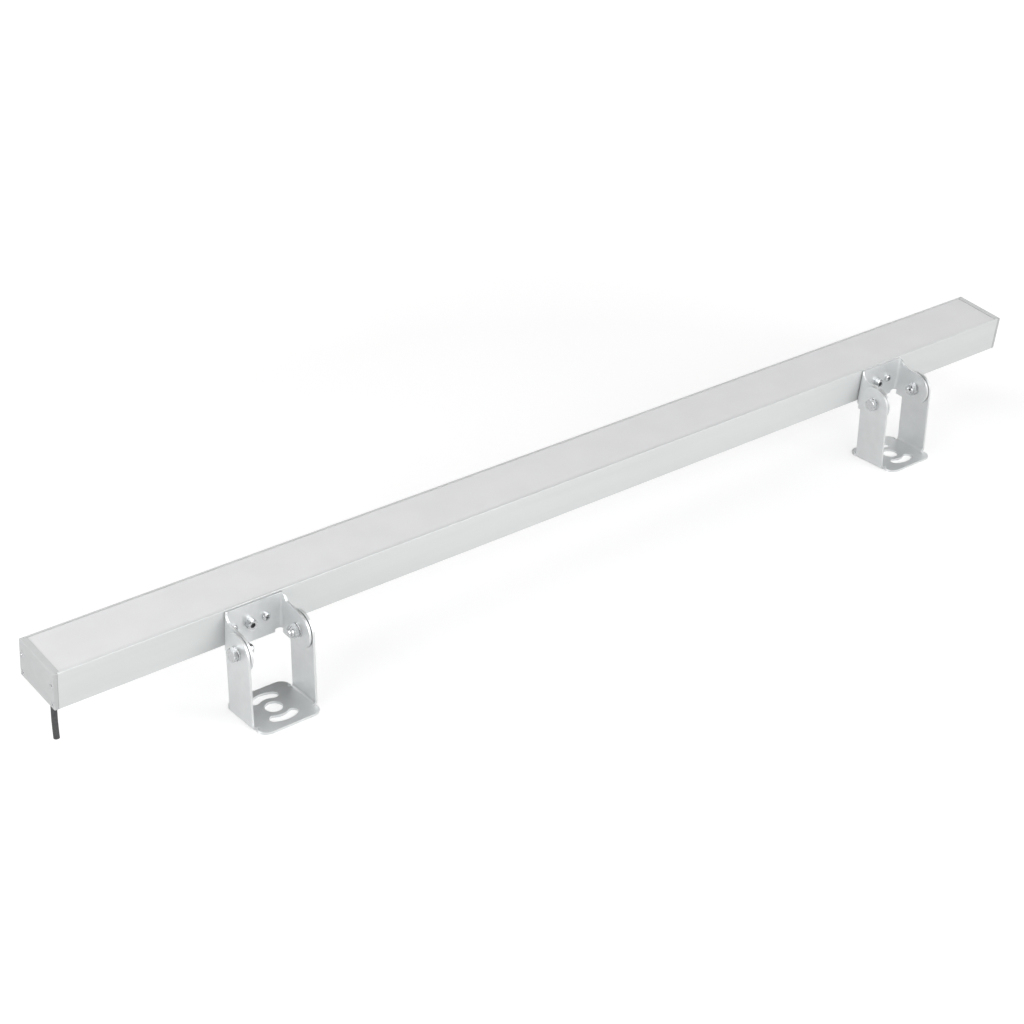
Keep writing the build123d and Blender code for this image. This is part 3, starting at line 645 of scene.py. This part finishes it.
pan_radius, pan_edge, pan_height = 3.5, 0.9, 2.4
pan_head = [
    (0, -8), (1.7, -8), (2.0, -7.7), (2.0, 0), (3.35, 0), (pan_radius, 0.15),
    (pan_radius, pan_edge),
]
for angle in (0.4, 0.8, 1.2):
    pan_head.append((pan_radius - 1.5 * (1 - math.cos(angle)), pan_edge + 1.3 * math.sin(angle)))
pan_head += [(1.9, 2.28), (0, pan_height)]
web_screw = turned(pan_head)
press_cross(web_screw, pan_height, 3.5, 1.5)
# The crossed recess gets the painted shade.
paint_recess_shade(web_screw, pan_height, 1.8)
for hand, (station, body) in hands.items():
    pair = bmesh.new()
    middle = station + fastener_shift
    put(pair, web_screw, web_place(middle - screw_reach, 0.5))
    put(pair, web_screw, web_place(middle + screw_reach, 1.1))
    finished(
        f"{hand}_web_screws", pair, (bright_zinc, recess_shade_paint), "lamp",
        [f"web_screws_{hand}"],
    )
web_screw.free()

lamp_half = 500.0
cap_screw_places = [(across, height) for across in (-21.4, 21.4) for height in (3.8, 20.4)]
cap_screw = turned([
    (0, -12), (0.9, -12), (1.2, -11.6), (1.2, -1.4), (2.5, -0.1), (2.5, -0.03), (2.45, 0), (0, 0),
])
press_cross(cap_screw, 0, 2.6, 1.1)
for hand, sign in (("left", -1), ("right", 1)):
    four = bmesh.new()
    for index, (across, height) in enumerate(cap_screw_places):
        place = Matrix.Translation((sign * lamp_half * MM, across * MM, height * MM))
        place = underside @ place @ Matrix.Rotation(sign * math.pi / 2, 4, "Y")
        put(four, cap_screw, place @ Matrix.Rotation(0.4 + 0.7 * index, 4, "Z"))
    node = f"end_cap_screws_{hand}"
    finished(f"{hand}_cap_screws", four, bright_zinc, "lamp", [node])
cap_screw.free()

# Housing: one aluminium extrusion, satin anodised, with both ends sawn square. The die leaves very
# faint lines along it.
def coat(node, finish):
    """Give a CAD node its finish."""
    for material_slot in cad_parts[node].material_slots:
        material_slot.link = "OBJECT"
        material_slot.material = finish


anodised = new_finish("satin_anodised_aluminium", 0.42, metallic=0.3)
anodised_dark, anodised_light = (0.745, 0.76, 0.758), (0.775, 0.79, 0.788)
colour_from(anodised, mottle(anodised, 20 * MM, (12, 1, 1), 4.0), anodised_dark, anodised_light)
gloss_from(anodised, mottle(anodised, 1.2 * MM, (60, 1, 1), 5.0), 0.42, 0.54)
grain_from(anodised, mottle(anodised, 0.35 * MM, (200, 1, 1)), 0.01 * MM, 0.4)
coat("housing", anodised)

# Diffuser: a frosted acrylic strip, milky through its depth. Its two legs clip into the housing, so
# that it lies a little below the lips.
frosted = new_finish("frosted_acrylic", 0.65)
colour_from(frosted, mottle(frosted, 30 * MM, detail=2.0), (0.73, 0.73, 0.735), (0.75, 0.75, 0.755))
grain_from(frosted, mottle(frosted, 0.4 * MM), 0.01 * MM, 0.3)
scatter_reach = 2 * MM
shader_of(frosted).inputs["Subsurface Weight"].default_value = 0.25
shader_of(frosted).inputs["Subsurface Radius"].default_value = (scatter_reach,) * 3
shader_of(frosted).inputs["Subsurface Scale"].default_value = 1.0
coat("diffuser", frosted)

# End caps and their gaskets: light grey moulded plastic with a fine spark grain, over soft grey
# rubber frames.
moulded_grey = new_finish("moulded_grey_plastic", 0.48)
colour_from(moulded_grey, mottle(moulded_grey, 6 * MM), (0.56, 0.568, 0.57), (0.58, 0.588, 0.59))
grain_from(moulded_grey, mottle(moulded_grey, 0.25 * MM), 0.03 * MM, 0.5)
gasket_rubber = new_finish("grey_gasket_rubber", 0.7)
colour_from(gasket_rubber, mottle(gasket_rubber, 2 * MM), (0.42, 0.42, 0.425), (0.48, 0.48, 0.485))
for hand in hands:
    coat(f"end_cap_{hand}", moulded_grey)
    coat(f"end_gasket_{hand}", gasket_rubber)

# Inside: white lacquered LED boards with yellow LEDs, their link and screws, and tapped steel bars
# behind the webs.
board_lacquer = new_finish("white_board_lacquer", 0.35)
colour_from(board_lacquer, mottle(board_lacquer, 5 * MM), (0.80, 0.80, 0.79), (0.86, 0.86, 0.85))
led_silicone = new_finish("yellow_led_silicone", 0.3)
colour_from(led_silicone, mottle(led_silicone, 1 * MM), (0.75, 0.58, 0.16), (0.85, 0.70, 0.25))
white_nylon = new_finish("white_nylon", 0.4)
colour_from(white_nylon, mottle(white_nylon, 2 * MM), (0.72, 0.72, 0.68), (0.80, 0.80, 0.77))
for hand in hands:
    coat(f"led_board_{hand}", board_lacquer)
    coat(f"leds_{hand}", led_silicone)
    coat(f"nut_plate_{hand}", zinc_sheet)
coat("board_link", white_nylon)
coat("board_screws", bright_zinc)

# Driver: a green lacquered board with black components, which lies on a dark fibre film. Brown
# wires run to it from the cable, and from it up to the LED board.
green_lacquer = new_finish("green_board_lacquer", 0.3)
colour_from(green_lacquer, mottle(green_lacquer, 3 * MM), (0.03, 0.16, 0.07), (0.05, 0.22, 0.10))
black_moulding = new_finish("black_component_moulding", 0.5)
black_dark, black_light = (0.02, 0.02, 0.022), (0.04, 0.04, 0.043)
colour_from(black_moulding, mottle(black_moulding, 1 * MM), black_dark, black_light)
fibre_film = new_finish("dark_fibre_film", 0.6)
fibre_dark, fibre_light = (0.03, 0.03, 0.032), (0.06, 0.06, 0.063)
colour_from(fibre_film, mottle(fibre_film, 1 * MM, (6, 1, 1)), fibre_dark, fibre_light)
coat("driver_board", green_lacquer)
coat("driver_components", black_moulding)
coat("driver_pad", fibre_film)
coat("driver_leads", core_insulation)
coat("supply_cores", core_insulation)
coat("supply_cable_inner", black_rubber)

# Floor: pale seamless paper that takes the object's shadow. Its own glow, which only the camera and
# glossy surfaces see, turns it white further out.
floor_shape = bmesh.new()
bmesh.ops.create_grid(floor_shape, x_segments=8, y_segments=8, size=14.0)
floor_mesh = bpy.data.meshes.new("floor")
floor_shape.to_mesh(floor_mesh)
floor_shape.free()
floor = bpy.data.objects.new("floor", floor_mesh)
scene.collection.objects.link(floor)
floor_paper = new_finish("floor_paper", 0.9)
colour_from(floor_paper, mottle(floor_paper, 0.4), (0.54, 0.54, 0.54), (0.56, 0.56, 0.56))
shader_of(floor_paper).inputs["Specular IOR Level"].default_value = 0.0
shader_of(floor_paper).inputs["Emission Color"].default_value = (1, 1, 1, 1)


def combine(finish, operation, *feeds):
    """The result of one arithmetic step on its feeds."""
    return add_node(finish, "ShaderNodeMath", *feeds, operation=operation).outputs[0]


def seen_directly(finish, rays):
    """One where the camera sees it, also through glass, and zero elsewhere."""
    camera_ray, glass_ray = rays.outputs["Is Camera Ray"], rays.outputs["Is Transmission Ray"]
    return combine(finish, "MAXIMUM", camera_ray, glass_ray)


rays = add_node(floor_paper, "ShaderNodeLightPath")
floor_place = add_node(floor_paper, "ShaderNodeTexCoord").outputs["Object"]
away = add_node(floor_paper, "ShaderNodeVectorMath", floor_place, operation="LENGTH")
fade = add_span(floor_paper, away.outputs["Value"], 0.5, 2.2, 0.55, 1.2)
seen_glow = combine(floor_paper, "MULTIPLY", seen_directly(floor_paper, rays), fade)
gloss_glow = combine(floor_paper, "MULTIPLY", rays.outputs["Is Glossy Ray"])
gloss_glow.node.inputs[1].default_value = 0.3
glow = combine(floor_paper, "ADD", seen_glow, gloss_glow)
floor_paper.node_tree.links.new(glow, shader_of(floor_paper).inputs["Emission Strength"])
floor_mesh.materials.append(floor_paper)

# Light: six square softboxes stand around the object, in dim air that the camera sees as white.
# Each has its place, the point that it faces, its side in metres and its power in watts.
air = bpy.data.worlds.new("pale_air")
scene.world = air
air.use_nodes = True
background = air.node_tree.nodes["Background"]
background.inputs["Color"].default_value = (1, 1, 1, 1)
air_rays = add_node(air, "ShaderNodeLightPath")
air_level = add_span(air, seen_directly(air, air_rays), 0.0, 1.0, 0.06, 1.0)
air.node_tree.links.new(air_level, background.inputs["Strength"])

for name, place, aim, size, power in (
    ("overhead_softbox", (-0.2, 0.3, 2.2), (0, 0, 0), 2.2, 13.5),
    ("front_softbox", (0.1, -1.25, 0.75), (0.05, 0, 0.05), 1.4, 17.0),
    ("front_right_softbox", (1.3, -1.4, 0.75), (0.3, 0, 0.05), 1.3, 8.0),
    ("cable_side_softbox", (-1.3, -0.15, 0.45), (-0.3, 0, 0.05), 0.8, 6.2),
    ("back_left_softbox", (-1.0, 1.2, 1.2), (0, 0, 0.05), 1.0, 11.0),
    ("far_end_softbox", (1.6, 0.5, 0.45), (0.3, 0, 0.05), 0.8, 5.0),
):
    lamp_data = bpy.data.lights.new(name, "AREA")
    lamp_data.shape = "SQUARE"
    lamp_data.size = size
    lamp_data.energy = power
    softbox = bpy.data.objects.new(name, lamp_data)
    softbox.location = place
    softbox.rotation_euler = (Vector(place) - Vector(aim)).to_track_quat("Z", "Y").to_euler()
    scene.collection.objects.link(softbox)

scene.view_settings.view_transform = "Standard"
